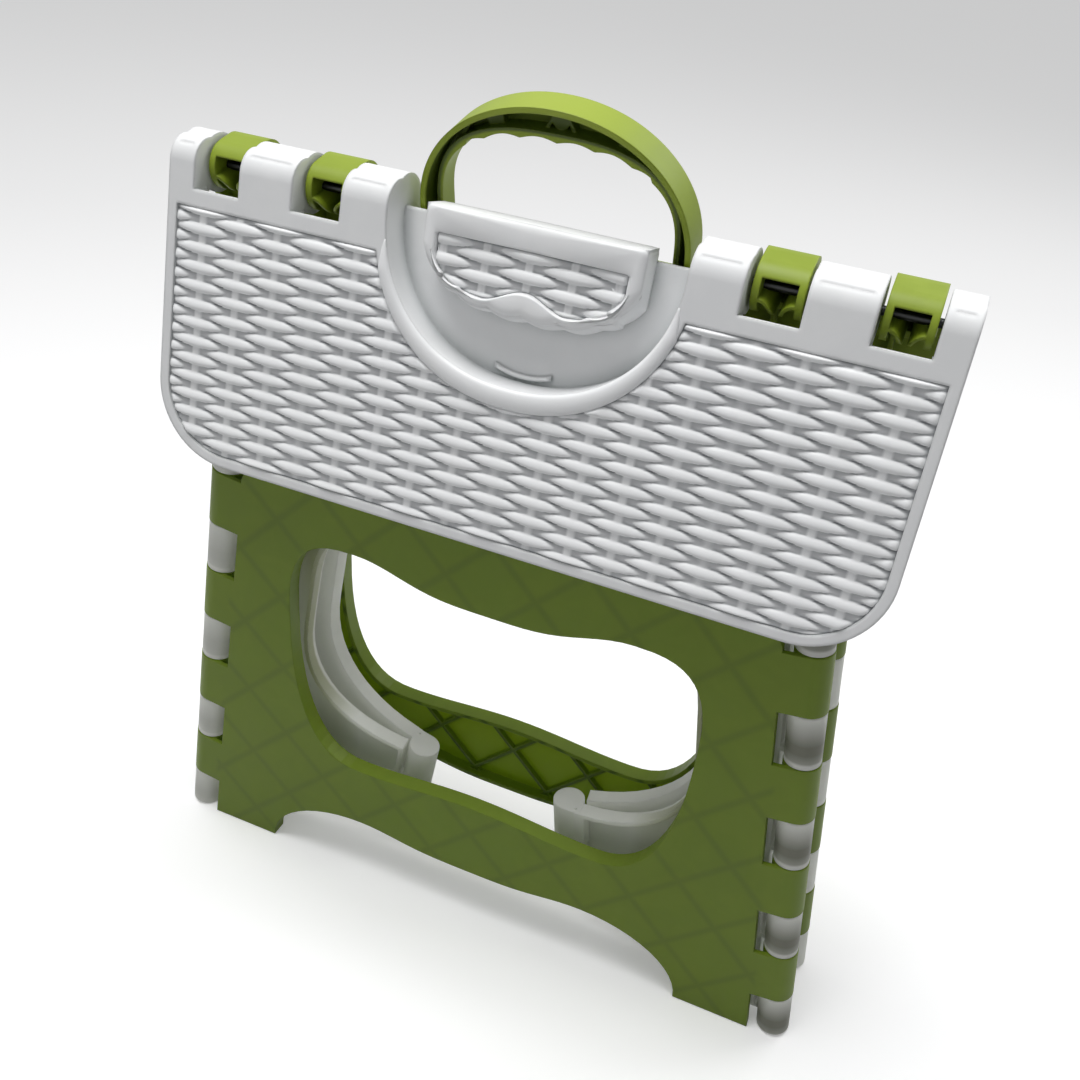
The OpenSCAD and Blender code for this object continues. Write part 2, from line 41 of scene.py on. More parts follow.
TILT = math.radians(12)
HINGE_Z = 328.438
FACE = 15.6
SEAT_HALF = 145.0
SEAT_REACH = 113.5
CORNER = 31.0
BORDER = 4.0
FIELD_TOP = -15.8
WEAVE_DEPTH = 1.2
BEAD_HALF, BEAD_REACH, BEAD_POWER = 58.5, 59.5, 2.15
RECESS_HALF, RECESS_REACH, RECESS_FLOOR = 54.5, 52.0, -1.6
ISLAND_HALF, ISLAND_TOP, ISLAND_GAP = 40.0, 4.0, 1.0
ISLAND_SINK = 1.6
HANDLE_HALF, HANDLE_HEIGHT, HANDLE_POWER = 50.5, 43.2, 2.05
GRIP_HALF, GRIP_HEIGHT, GRIP_POWER = 43.5, 30.4, 2.7
GRIP_PITCH, GRIP_DEPTH, GRIP_WAVES = 13.3, 1.2, 5
CHANNEL_HALF, CHANNEL_HEIGHT, CHANNEL_POWER = 45.5, 33.6, 2.7
LIP_DEPTH = 6.0
SPLAY = math.radians(7.7)
COLUMN_X = 152.8
WHITE_TOP, WHITE_LENGTH, KNUCKLE_PITCH = 23.6, 24.7, 53.0
MID_X, PANEL_LEAN = 48.0, 0.181
PLATE_MIDDLE, RIB_TOP = 25.6, 24.3
LATTICE_WIDE, LATTICE_HIGH, LATTICE_START, REAR_LIFT = 39.0, 40.0, 54.4, 10.0


def seat_point(x, yl, zl, side):
    """A seat half's point in the row frame, in metres. Side is -1 at the front, 1 at the rear."""
    y = yl * math.cos(TILT) + zl * math.sin(TILT)
    z = HINGE_Z - yl * math.sin(TILT) + zl * math.cos(TILT)
    return Vector((x * MM, -side * y * MM, z * MM))


# Camera, where the photograph was taken from

SENSOR = 36
FOCAL_PIXELS = 1114.2273
IMAGE_PIXELS = 1080

cam_data = bpy.data.cameras.new("camera")
cam = bpy.data.objects.new("camera", cam_data)
scene.collection.objects.link(cam)
scene.camera = cam
camera_right = Vector((0.9211825, 0.37798548, 0.092465))
camera_up = Vector((-0.28003793, 0.47895351, 0.83197493))
camera_back = Vector((0.270188, -0.79229446, 0.54705387))
pose = Matrix((camera_right, camera_up, camera_back)).transposed().to_4x4()
pose.translation = Vector((0.13088, -0.35644, 0.45124))
cam.matrix_world = pose
cam_data.sensor_width = SENSOR
cam_data.lens = SENSOR * FOCAL_PIXELS / IMAGE_PIXELS
cam_data.clip_start = 0.01
cam_data.clip_end = 50


# Shader graphs

class Graph:
    """Short calls for building the nodes of a material or a world."""

    def __init__(self, owner, output):
        owner.use_nodes = True
        self.tree = owner.node_tree
        self.tree.nodes.clear()
        self.out = self.node(output)

    def node(self, kind, inputs=None, **settings):
        made = self.tree.nodes.new(kind)
        for key, value in settings.items():
            setattr(made, key, value)
        for key, value in (inputs or {}).items():
            self.plug(value, made.inputs[key])
        return made

    def plug(self, value, socket):
        if isinstance(value, bpy.types.NodeSocket):
            self.tree.links.new(value, socket)
        else:
            socket.default_value = value

    def surface(self, shader):
        self.plug(shader, self.out.inputs["Surface"])

    def math(self, operation, *values):
        made = self.node("ShaderNodeMath", operation=operation)
        for i, value in enumerate(values):
            self.plug(value, made.inputs[i])
        return made.outputs[0]

    def add(self, a, b):
        return self.math("ADD", a, b)

    def sub(self, a, b):
        return self.math("SUBTRACT", a, b)

    def mul(self, a, b):
        return self.math("MULTIPLY", a, b)

    def div(self, a, b):
        return self.math("DIVIDE", a, b)

    def most(self, a, b):
        return self.math("MAXIMUM", a, b)

    def size(self, a):
        return self.math("ABSOLUTE", a)

    def mix(self, factor, a, b):
        """Colour a where the factor is 0 and colour b where it is 1."""
        made = self.node("ShaderNodeMix", data_type="RGBA")
        self.plug(factor, made.inputs[0])
        self.plug(a, made.inputs[6])
        self.plug(b, made.inputs[7])
        return made.outputs[2]

    def ramp(self, value, zero, one):
        """0 up to the value zero and 1 from the value one on, straight in between."""
        inputs = {"Value": value, "From Min": zero, "From Max": one}
        return self.node("ShaderNodeMapRange", inputs).outputs[0]

    def ramp_mm(self, value, zero, one):
        """The same for a value in metres and limits in millimetres."""
        return self.ramp(value, zero * MM, one * MM)

    def near(self, value, middle, zero, one):
        """A ramp on the distance between a value and a middle."""
        return self.ramp(self.size(self.sub(value, middle)), zero, one)

    def split(self, vector):
        outputs = self.node("ShaderNodeSeparateXYZ", {0: vector}).outputs
        return outputs["X"], outputs["Y"], outputs["Z"]

    def noise(self, where, scale, detail, distortion=0.0):
        inputs = {"Vector": where, "Scale": scale, "Detail": detail, "Distortion": distortion}
        return self.node("ShaderNodeTexNoise", inputs).outputs[0]


def new_material(name):
    """An empty material and the graph of its nodes."""
    mat = bpy.data.materials.new(name)
    return mat, Graph(mat, "ShaderNodeOutputMaterial")


def srgb(r, g, b):
    """Linear colour of an 8-bit sRGB value."""
    def one(c):
        c /= 255
        return c / 12.92 if c <= 0.04045 else ((c + 0.055) / 1.055) ** 2.4
    return (one(r), one(g), one(b), 1)


def grey(level):
    return (level, level, level, 1)


# Colour patterns of the plastics, which paint light and shade. Each takes a graph, the object
# coordinates and a colour.

# Widths of the lattice lines, and how strong their painted shade is on a leg's face and inside it
LINE_EDGE, LINE_CORE = 0.085, 0.02
LINE_ON_FACE, LINE_INSIDE = 0.27, 0.55
CELL_SHIFT = 100.5  # above any lattice coordinate, with the lines half a cell on
TURN_SHIFT = 5.0  # above any count of knuckles, so that fractions stay positive
# Colours of painted light and shade
RIB_SHADE_GREEN = srgb(66, 80, 26)
CELL_LIT_GREEN = srgb(168, 190, 28)
HANDLE_TOP_LIGHT = srgb(160, 178, 62)
CHANNEL_SHADE_GREEN = srgb(76, 90, 34)
GAP_SHADE_GREY = srgb(136, 139, 143)
GAP_SHADE_GREEN = srgb(84, 100, 28)
PANEL_SHADE_OLIVE = srgb(176, 181, 138)
KNUCKLE_SHADE = srgb(128, 129, 113)
KNUCKLE_HIGHLIGHT = srgb(250, 250, 247)
OLIVE_SHARE = 0.8
# Heights up a white knuckle of its painted shade and of the painted highlights on its rims, in
# millimetres
DIM_MIDDLE = 9.0
DIM_LEFT, DIM_GAIN = 0.3, 0.6  # share of painted shade, from the left knuckles to the right ones
LOW_RIM, HIGH_RIM = 1.1, WHITE_LENGTH - 0.7


def column_along(g, x, z):
    """Distance up along the axis of the nearest column."""
    away = g.sub(g.size(x), COLUMN_X * MM)
    return g.sub(g.mul(z, math.cos(SPLAY)), g.mul(away, math.sin(SPLAY)))


def column_aside(g, x, z):
    """Distance outward from the axis of the nearest column."""
    away = g.sub(g.size(x), COLUMN_X * MM)
    return g.add(g.mul(away, math.cos(SPLAY)), g.mul(z, math.sin(SPLAY)))


def lattice_lines(g, x, y, z):
    """1 on the ribs of the diamond lattice and 0 in its cells. The rear leg's lies higher."""
    lift = g.mul(g.math("GREATER_THAN", y, 0.0), REAR_LIFT * MM)
    across = g.div(x, LATTICE_WIDE * MM)
    upward = g.div(g.sub(g.sub(z, LATTICE_START * MM), lift), LATTICE_HIGH * MM)
    lines = []
    for operation in ("ADD", "SUBTRACT"):
        cell = g.math("FRACT", g.add(g.math(operation, across, upward), CELL_SHIFT))
        lines.append(g.near(cell, 0.5, LINE_EDGE, LINE_CORE))
    return g.most(*lines)


def rib_shadow(g, where, color):
    """Painted shade of the diamond lattice: faint lines on a leg's face where the ribs behind
    show through, shaded ribs inside it, and painted light in its cells.
    """
    x, y, z = g.split(where)
    depth = g.size(y)
    normal_y = g.split(g.node("ShaderNodeTexCoord").outputs["Normal"])[1]
    flat = g.ramp(g.size(normal_y), 0.8, 0.9)
    on_panel = g.mul(g.ramp_mm(column_aside(g, x, z), -7.5, -9.5), flat)
    inside = g.mul(g.ramp_mm(depth, PLATE_MIDDLE + 0.2, PLATE_MIDDLE - 0.2), on_panel)
    # Painted light in the cells, where light comes through the leg's wall.
    cell = g.mul(inside, g.ramp_mm(depth, RIB_TOP, RIB_TOP + 0.3))
    color = g.mix(cell, color, CELL_LIT_GREEN)
    # Painted shade on the lattice lines, fainter on the face than inside.
    share = g.add(g.mul(inside, LINE_INSIDE), LINE_ON_FACE)
    return g.mix(g.mul(g.mul(lattice_lines(g, x, y, z), share), on_panel), color, RIB_SHADE_GREEN)


def handle_shade(g, where, color):
    """Painted shade in the handle's channel, which holds little light, and painted light that
    makes its outside paler towards the top.
    """
    x, y, z = g.split(where)
    x = g.size(g.div(x, MM))
    y = g.mul(y, -1 / MM)
    z = g.sub(g.div(z, MM), HINGE_Z)
    depth = g.sub(g.mul(y, math.cos(TILT)), g.mul(z, math.sin(TILT)))
    height = g.add(g.mul(y, math.sin(TILT)), g.mul(z, math.cos(TILT)))
    raised = g.most(height, 0.0)

    def d_value(half, top, power):
        """1 on the edge of a rounded D, less inside it."""
        return g.add(g.math("POWER", g.div(x, half), power),
                     g.math("POWER", g.div(raised, top), power))

    # Painted light: the outside turns paler towards the top.
    color = g.mix(g.ramp(height, 33.0, 43.0), color, HANDLE_TOP_LIGHT)
    # Painted shade deep inside the channel.
    inside_wall = g.ramp(d_value(HANDLE_HALF, HANDLE_HEIGHT, HANDLE_POWER), 0.965, 0.94)
    outside_lip = g.ramp(d_value(CHANNEL_HALF, CHANNEL_HEIGHT, CHANNEL_POWER), 0.89, 0.95)
    deep = g.mul(g.ramp(depth, -2.4, -3.4), g.ramp(depth, -13.4, -12.9))
    dark = g.mul(g.mul(g.mul(inside_wall, outside_lip), deep), g.ramp(height, -6.0, -5.0))
    return g.mix(dark, color, CHANNEL_SHADE_GREEN)


def gap_shadow(dark):
    """A pattern that darkens the gaps of the weave, where less light gets in."""
    def pattern(g, where, color):
        rise = g.node("ShaderNodeAttribute", attribute_name="rise").outputs["Fac"]
        return g.mix(g.ramp(rise, 0.42, 0.04), color, dark)
    return pattern


def leg_through_panel(g, x, y, aside):
    """Where painted shade, tinted by the green of the leg seen through it, covers the outer end
    of a side panel.
    """
    lean = g.mul(g.sub(g.size(x), MID_X * MM), PANEL_LEAN)
    depth = g.sub(g.mul(y, -1.0), lean)
    on_panel = g.mul(g.ramp_mm(depth, 0.0, 1.4), g.ramp_mm(aside, -12, -16))
    return g.mul(on_panel, g.ramp_mm(g.size(x), 70, 90))


def knuckle_light(g, where, color):
    """Painted light and shade in the clear white knuckles: a shaded middle and painted highlights
    on their rims.
    """
    x, y, z = g.split(where)
    aside = column_aside(g, x, z)
    # Painted shade on the panel ends, tinted green by the leg behind them.
    painted_olive = leg_through_panel(g, x, y, aside)
    color = g.mix(g.mul(painted_olive, OLIVE_SHARE), color, PANEL_SHADE_OLIVE)

    turn = g.div(g.sub(column_along(g, x, z), WHITE_TOP * MM), KNUCKLE_PITCH * MM)
    part = g.sub(g.math("FRACT", g.add(turn, TURN_SHIFT)), 1 - WHITE_LENGTH / KNUCKLE_PITCH)
    height = g.mul(part, KNUCKLE_PITCH)
    on_column = g.ramp_mm(g.size(aside), 8.5, 7.5)
    front = g.ramp_mm(y, 1, -1)
    # Painted shade in the middle of the front knuckles, stronger to the right.
    dim = g.mul(g.mul(g.near(height, DIM_MIDDLE, 14.0, 2.0), on_column), front)
    share = g.add(g.mul(g.ramp_mm(x, -50, 50), DIM_GAIN), DIM_LEFT)
    color = g.mix(g.mul(dim, share), color, KNUCKLE_SHADE)
    # Painted highlights on the knuckles' rims.
    low = g.near(height, LOW_RIM, 1.9, 0.7)
    high = g.near(height, HIGH_RIM, 1.0, 0.4)
    return g.mix(g.mul(g.most(low, high), on_column), color, KNUCKLE_HIGHLIGHT)


# Materials

CLOUD_SCALE, FLOW_SCALE, SPECK_SCALE, GRAIN_SCALE = 14.0, 60.0, 900.0, 2600.0
FLOW_DISTORTION = 1.2
FLOW_SHARE, WEAR_SHARE = 0.35, 0.45
FLOW_HEIGHT, FLOW_ROUGHNESS = 0.8, 0.16
GRAIN_STRENGTH, GRAIN_DISTANCE = 0.05, 0.0004
SPECULAR = 0.36
SAMPLES = 6
SATIN = 0.46


def plastic(name, base, shade, light, rough=SATIN, bevel_mm=0, through=0.0, through_color=None,
            pattern=None, cavity_mm=0, cavity_shade_color=None):
    """Moulded plastic: cloudy colour, worn edges, faint flow marks, a fine eroded grain and
    painted shade in its hollows.
    """
    mat, g = new_material(name)
    where = g.node("ShaderNodeTexCoord").outputs["Object"]
    cloud = g.noise(where, CLOUD_SCALE, 3.0)
    flow = g.noise(where, FLOW_SCALE, 4.0, FLOW_DISTORTION)
    speck = g.noise(where, SPECK_SCALE, 2.0)
    fine = g.noise(where, GRAIN_SCALE, 2.0)
    soft = flat = g.node("ShaderNodeNewGeometry").outputs["Normal"]
    if bevel_mm:
        soft = g.node("ShaderNodeBevel", {"Radius": bevel_mm * MM}, samples=SAMPLES).outputs[0]
    same = g.node("ShaderNodeVectorMath", {0: soft, 1: flat}, operation="DOT_PRODUCT")
    edge = g.ramp(same.outputs["Value"], 0.995, 0.80)

    color = g.mix(g.ramp(cloud, 0.3, 0.7), shade, base)
    color = g.mix(g.mul(g.ramp(flow, 0.45, 0.75), FLOW_SHARE), color, light)
    if pattern:
        color = pattern(g, where, color)
    # Painted shade: the colour turns darker where ambient occlusion finds hollows and overhangs.
    if cavity_mm:
        open_air = g.node("ShaderNodeAmbientOcclusion", {"Distance": cavity_mm * MM},
                          samples=SAMPLES, only_local=True).outputs["AO"]
        color = g.mix(g.ramp(open_air, 0.8, 0.2), color, cavity_shade_color)
    wear = g.mul(g.mul(edge, g.ramp(speck, 0.25, 0.6)), WEAR_SHARE)
    color = g.mix(wear, color, light)

    bump = g.node("ShaderNodeBump", {
        "Height": g.add(fine, g.mul(flow, FLOW_HEIGHT)), "Strength": GRAIN_STRENGTH,
        "Distance": GRAIN_DISTANCE, "Normal": soft}).outputs[0]
    shader = g.node("ShaderNodeBsdfPrincipled", {
        "Base Color": color, "Roughness": g.add(g.mul(g.sub(flow, 0.5), FLOW_ROUGHNESS), rough),
        "Specular IOR Level": SPECULAR, "Normal": bump}).outputs[0]
    if through:
        clear = g.node("ShaderNodeBsdfTranslucent",
                       {"Color": through_color or color, "Normal": bump}).outputs[0]
        shader = g.node("ShaderNodeMixShader", {0: through, 1: shader, 2: clear}).outputs[0]
    g.surface(shader)
    return mat


def wire(name):
    """Drawn steel wire of the hinge pins, with fine lines along X, painted dark as painted shade
    where the pins sit in the shade of the knuckles.
    """
    mat, g = new_material(name)
    where = g.node("ShaderNodeTexCoord").outputs["Object"]
    stretched = g.node("ShaderNodeVectorMath", {0: where, 1: (40, 900, 900)},
                       operation="MULTIPLY").outputs[0]
    draw = g.noise(stretched, 3.0, 3.0)
    bump = g.node("ShaderNodeBump", {"Height": draw, "Strength": 0.08, "Distance": 0.0003})
    shader = g.node("ShaderNodeBsdfPrincipled", {
        "Base Color": g.mix(draw, srgb(58, 59, 60), srgb(78, 79, 80)), "Metallic": 1.0,
        "Roughness": g.add(g.mul(draw, 0.2), 0.28), "Normal": bump.outputs[0]})
    g.surface(shader.outputs[0])
    return mat


white = plastic(
    "white_plastic", srgb(243, 244, 244), srgb(239, 240, 241), srgb(249, 249, 249), bevel_mm=1.8,
    through=0.04, through_color=srgb(240, 240, 238),
    cavity_mm=9, cavity_shade_color=srgb(160, 168, 167))
# The relief's white is the seat's white painted a little lighter: painted light on the crests of
# the weave, the bead, the island's rim and the rib.
white_relief = plastic(
    "white_relief", srgb(248, 249, 249), srgb(244, 245, 246), srgb(251, 251, 251), rough=0.38,
    pattern=gap_shadow(GAP_SHADE_GREY))
# The seat's green is painted a little darker than the rear weave's green: painted shade on the
# handle's sides.
green = plastic(
    "green_plastic", srgb(141, 160, 43), srgb(135, 154, 38), srgb(156, 174, 62), bevel_mm=1.0,
    through=0.04, through_color=srgb(150, 185, 40), pattern=handle_shade,
    cavity_mm=9, cavity_shade_color=srgb(92, 112, 26))
green_relief = plastic(
    "green_relief", srgb(150, 170, 46), srgb(144, 164, 40), srgb(164, 182, 66),
    pattern=gap_shadow(GAP_SHADE_GREEN))
# The legs' green is the seat's green painted darker: painted shade on the legs' faces.
leg_green = plastic(
    "leg_green_plastic", srgb(119, 139, 35), srgb(112, 133, 29), srgb(131, 149, 50),
    bevel_mm=0.8, through=0.22, through_color=srgb(160, 195, 10), pattern=rib_shadow)
milky = plastic(
    "milky_plastic", srgb(246, 247, 243), srgb(241, 242, 237), srgb(250, 250, 248), rough=0.36,
    bevel_mm=1.0, through=0.45, pattern=knuckle_light)
steel = wire("pin_steel")

for name, obj in nodes.items():
    if "pin" in name:
        mat = steel
    elif name.startswith("leg"):
        mat = leg_green
    elif name.startswith("side"):
        mat = milky
    elif name == "seat_rear":
        mat = green
    else:
        mat = white
    obj.data.materials.clear()
    obj.data.materials.append(mat)


# Making closed pieces that ride on a body

PIECE_BACK = 0.8
RELIEF_MARGIN = 1.1
FADE_START, FADE_LENGTH = 0.1, 0.9
STRAND_HEIGHT = 2.0


def finish_piece(name, bm, mat, body):
    """Turns a closed bmesh into a smooth piece that rides on the body."""
    bmesh.ops.recalc_face_normals(bm, faces=bm.faces)
    mesh = bpy.data.meshes.new(name)
    bm.to_mesh(mesh)
    bm.free()
    for p in mesh.polygons:
        p.use_smooth = True
    obj = bpy.data.objects.new(name, mesh)
    scene.collection.objects.link(obj)
    mesh.materials.append(mat)
    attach(obj, body)
    return obj


def close_piece(name, bm, side, mat, body):
    """Gives an open face sides and a back, and finishes the piece."""
    rim = [e for e in bm.edges if len(e.link_faces) == 1]
    made = bmesh.ops.extrude_edge_only(bm, edges=rim)["geom"]
    shift = seat_point(0, PIECE_BACK, 0, side) - seat_point(0, 0, 0, side)
    for v in made:
        if isinstance(v, bmesh.types.BMVert):
            v.co += shift
    back_edges = [e for e in made if isinstance(e, bmesh.types.BMEdge)]
    bmesh.ops.holes_fill(bm, edges=back_edges, sides=0)
    return finish_piece(name, bm, mat, body)


def relief_piece(name, side, xs, zs, distance, height, base, mat, body):
    """A closed piece whose face carries a relief. Base is the depth of its lowest level."""
    bm = bmesh.new()
    rise = bm.verts.layers.float.new("rise")
    grid = {}
    for i, x in enumerate(xs):
        for j, z in enumerate(zs):
            inward = distance(x, z)
            if inward > -RELIEF_MARGIN:
                h = height(x, z) * min(1.0, max(0.0, (inward + FADE_START) / FADE_LENGTH))
                v = bm.verts.new(seat_point(x, -FACE + base - h * STRAND_HEIGHT, z, side))
                v[rise] = h
                grid[i, j] = v
    for i in range(len(xs) - 1):
        for j in range(len(zs) - 1):
            quad = [grid.get(k) for k in ((i, j), (i + 1, j), (i + 1, j + 1), (i, j + 1))]
            if None not in quad:
                if side > 0:
                    quad.reverse()
                bm.faces.new(quad)
    loose = [v for v in bm.verts if not v.link_faces]
    bmesh.ops.delete(bm, geom=loose, context="VERTS")
    return close_piece(name, bm, side, mat, body)


def loft(name, sections, ring, mat, body):
    """A closed piece of the front half through sections, each a loop of x, depth and height."""
    bm = bmesh.new()
    rise = bm.verts.layers.float.new("rise")
    grid = []
    for section in sections:
        line = [bm.verts.new(seat_point(x, yl, zl, -1)) for x, yl, zl in section]
        for v in line:
            v[rise] = 1.0
        grid.append(line)
    n = len(grid[0])
    pairs = list(zip(grid, grid[1:]))
    if ring:
        pairs.append((grid[-1], grid[0]))
    else:
        bm.faces.new(grid[0])
        bm.faces.new(reversed(grid[-1]))
    for one, two in pairs:
        for i in range(n):
            bm.faces.new((one[i], two[i], two[(i + 1) % n], one[(i + 1) % n]))
    return finish_piece(name, bm, mat, body)


def rounded_strip(name, rows, height, depth, thickness, mat, body, slices=10):
    """A half-round strip on the front half. Rows hold its two edges and a share of the height."""
    sections = []
    for a, b, share in rows:
        line = []
        for i in range(slices + 1):
            t = i / slices
            h = height * share * math.sqrt(max(0.0, 1 - (2 * t - 1) ** 2))
            line.append((a[0] + (b[0] - a[0]) * t, depth - h, a[1] + (b[1] - a[1]) * t))
        line.append((b[0], depth + thickness, b[1]))
        line.append((a[0], depth + thickness, a[1]))
        sections.append(line)
    return loft(name, sections, False, mat, body)


def spread(a, b, spacing):
    """Even steps from a to b, about the spacing apart."""
    n = int(round((b - a) / spacing))
    return [a + (b - a) * i / n for i in range(n + 1)]


# The weave: strands that pass over upright stakes, every other row shifted by one stake

STAKE_PITCH, ROW_PITCH = 16.2, 7.1
STRAND_LENGTH, STRAND_HALF = 11.6, 2.3
STRAND_TILT = 0.015
CREST = -0.3
TAIL_REACH, TAIL_HALF, TAIL_HEIGHT, TAIL_FALL = 15.0, 1.75, 0.40, 0.4
STAKE_HALF, STAKE_HEIGHT = 1.8, 0.42
GROOVE_PLACE, GROOVE_HALF, GROOVE_DEPTH = 0.55, 0.3, 0.10
SEAT_FIRST_ROW, ISLAND_FIRST_ROW = -6.7, 0
SEAT_WEAVE_START, ISLAND_WEAVE_START = 9.5, 6.4
RELIEF_BASE = WEAVE_DEPTH - 0.05


def crown(dx, dz):
    """The raised part of a strand. Its crest lies a little below its middle."""
    t = abs(dx) / STRAND_LENGTH
    if t >= 1:
        return 0
    u = dz / (STRAND_HALF * (1 - t * t) ** 0.6)
    if abs(u) >= 1:
        return 0
    u = (u - CREST) / (1 - CREST if u > CREST else 1 + CREST)
    return math.sqrt(1 - u * u) * (0.25 + 0.75 * math.cos(0.5 * math.pi * t) ** 0.8)


def strand(dx, dz):
    """Height of one strand around the stake it passes over, with the low tails at its ends."""
    dz += STRAND_TILT * dx
    tail = 0
    if abs(dx) < TAIL_REACH and abs(dz) < TAIL_HALF:
        round_off = math.sqrt(1 - (dz / TAIL_HALF) ** 2)
        tail = TAIL_HEIGHT * round_off * (1 - TAIL_FALL * abs(dx) / TAIL_REACH)
    return max(tail, crown(dx, dz))


def stake(d):
    """Height of an upright stake at a distance from its middle: a flat band with two grooves."""
    if d > STAKE_HALF:
        return 0
    band = STAKE_HEIGHT * (1 - (d / STAKE_HALF) ** 6)
    return band - GROOVE_DEPTH * max(0, 1 - abs(d - GROOVE_PLACE) / GROOVE_HALF)


def weave(x, z, first_row):
    """Height of the weave from 0 to 1. Row heights count from the first row of a middle stake."""
    k0 = round(x / STAKE_PITCH)
    best = stake(abs(x - k0 * STAKE_PITCH))
    for k in (k0 - 1, k0, k0 + 1):
        dx = x - k * STAKE_PITCH
        first = first_row if k % 2 == 0 else first_row - ROW_PITCH / 2
        j = round((first - z - STRAND_TILT * dx) / ROW_PITCH)
        best = max(best, strand(dx, z - (first - j * ROW_PITCH)))
    return best


def seat_weave(x, zl):
    return weave(x, zl + SEAT_WEAVE_START, SEAT_FIRST_ROW)


# Woven fields of the two seat halves

FIELD_HALF, FIELD_LOW, FIELD_HIGH = 141.5, -110.0, -13.5
FIELD_STEP_X = 1.0
FIELD_STEP_Z = 0.42


def field_distance(x, zl):
    """How far a point lies inside the woven field's border, in millimetres."""
    half = SEAT_HALF - BORDER
    low = -SEAT_REACH + BORDER
    r = CORNER - BORDER
    dx, dz = abs(x) - (half - r), (low + r) - zl
    if dx > 0 and dz > 0:
        d = r - math.hypot(dx, dz)
    else:
        d = min(half - abs(x), zl - low)
    return min(d, FIELD_TOP - zl)


def recessed_distance(x, zl):
    """The same for the front half, whose field stops at the bead round the recess."""
    across, down = (abs(x) / BEAD_HALF) ** BEAD_POWER, (abs(zl) / BEAD_REACH) ** BEAD_POWER
    ring = (across + down) ** (1 / BEAD_POWER)
    return min(field_distance(x, zl), (ring - 1) * math.hypot(x, zl) / max(ring, 0.01))


field_xs = spread(-FIELD_HALF, FIELD_HALF, FIELD_STEP_X)
field_zs = spread(FIELD_LOW, FIELD_HIGH, FIELD_STEP_Z)
front_weave = relief_piece("seat_weave_front", -1, field_xs, field_zs, recessed_distance,
                           seat_weave, RELIEF_BASE, white_relief, "seat_front")
rear_weave = relief_piece("seat_weave_rear", 1, field_xs, field_zs, field_distance,
                          seat_weave, RELIEF_BASE, green_relief, "seat_rear")


# Woven field of the island

PATCH_HALF, PATCH_EDGE = 35.0, 35.5
PATCH_LOW, PATCH_HIGH = -24.0, -4.9
PATCH_FROM, PATCH_TO = -25, -4
PATCH_STEP_X, PATCH_STEP_Z = 0.7, 0.4
PATCH_POWER = 4
SWELL_HALF, SWELL_HEIGHT = 16.0, 5.2
OUTSIDE = -9


def island_distance(x, zl):
    """How far a point lies inside the island's field, a deep D whose lower edge swells up."""
    if abs(x) >= PATCH_HALF:
        return OUTSIDE
    low = PATCH_LOW * (1 - (abs(x) / PATCH_EDGE) ** PATCH_POWER) ** (1 / PATCH_POWER)
    if abs(x) < SWELL_HALF:
        low += SWELL_HEIGHT * math.cos(0.5 * math.pi * x / SWELL_HALF) ** 2
    return min(PATCH_HALF - abs(x), PATCH_HIGH - zl, zl - low)


def patch_weave(x, zl):
    return weave(x, zl + ISLAND_WEAVE_START, ISLAND_FIRST_ROW)


patch_xs = spread(-PATCH_EDGE, PATCH_EDGE, PATCH_STEP_X)
patch_zs = spread(PATCH_FROM, PATCH_TO, PATCH_STEP_Z)
island_weave = relief_piece("island_weave", -1, patch_xs, patch_zs, island_distance,
                            patch_weave, RELIEF_BASE + ISLAND_SINK, white_relief, "seat_front")


# The island's rounded rim: its side, a soft edge, the flat frame and the edge of the woven field

RIM_STEPS = 360
RIM_OUT, RIM_LOW, RIM_TOP = 0.25, 13.0, 15.2
RIM_SIDE_DEPTHS = (1.2, 3.0, 5.0, 7.0, 9.0, 11.0)
RIM_FRAME_DEPTH = 14.0
RIM_MIDDLE = -11.0
RIM_CORNER = 2.0
RIM_FOOT = 0.6
SOFT_OUTER, SOFT_INNER = 3.4, 1.2
SOFT_STEPS = 6
FARTHEST = 80.0
HALVINGS = 30


def island_edge(x, depth):
    """Lower edge of the island at a depth from the hinge, clear of the handle's swing."""
    x = abs(x)
    edge = GRIP_HEIGHT * max(0.0, 1 - (x / GRIP_HALF) ** GRIP_POWER) ** (1 / GRIP_POWER)
    if x < GRIP_PITCH * GRIP_WAVES / 2:
        edge += GRIP_DEPTH * abs(math.sin(math.pi * x / GRIP_PITCH))
    return math.sqrt(max(0.0, (math.hypot(edge, LIP_DEPTH) - ISLAND_GAP) ** 2 - depth ** 2))


def in_island(x, zl, depth):
    dx, dz = abs(x) - (ISLAND_HALF - RIM_CORNER), zl - (ISLAND_TOP - RIM_CORNER)
    if dx > 0 and dz > 0 and math.hypot(dx, dz) > RIM_CORNER:
        return False
    return abs(x) < ISLAND_HALF and zl < ISLAND_TOP and zl > -island_edge(x, depth)


def reach(inside, turn):
    """How far a ray from the island's middle stays inside a shape."""
    low, high = 0.0, FARTHEST
    for _ in range(HALVINGS):
        mid = (low + high) / 2
        if inside(mid * math.cos(turn), RIM_MIDDLE + mid * math.sin(turn)):
            low = mid
        else:
            high = mid
    return low


def soft_edge(radius, inward, k):
    """Radius and depth at step k of a rounded edge that starts at the radius and turns inward."""
    bend = 0.5 * math.pi * k / SOFT_STEPS
    return (radius + inward * (1 - math.cos(bend)),
            RIM_LOW + (RIM_TOP - RIM_LOW) * math.sin(bend))


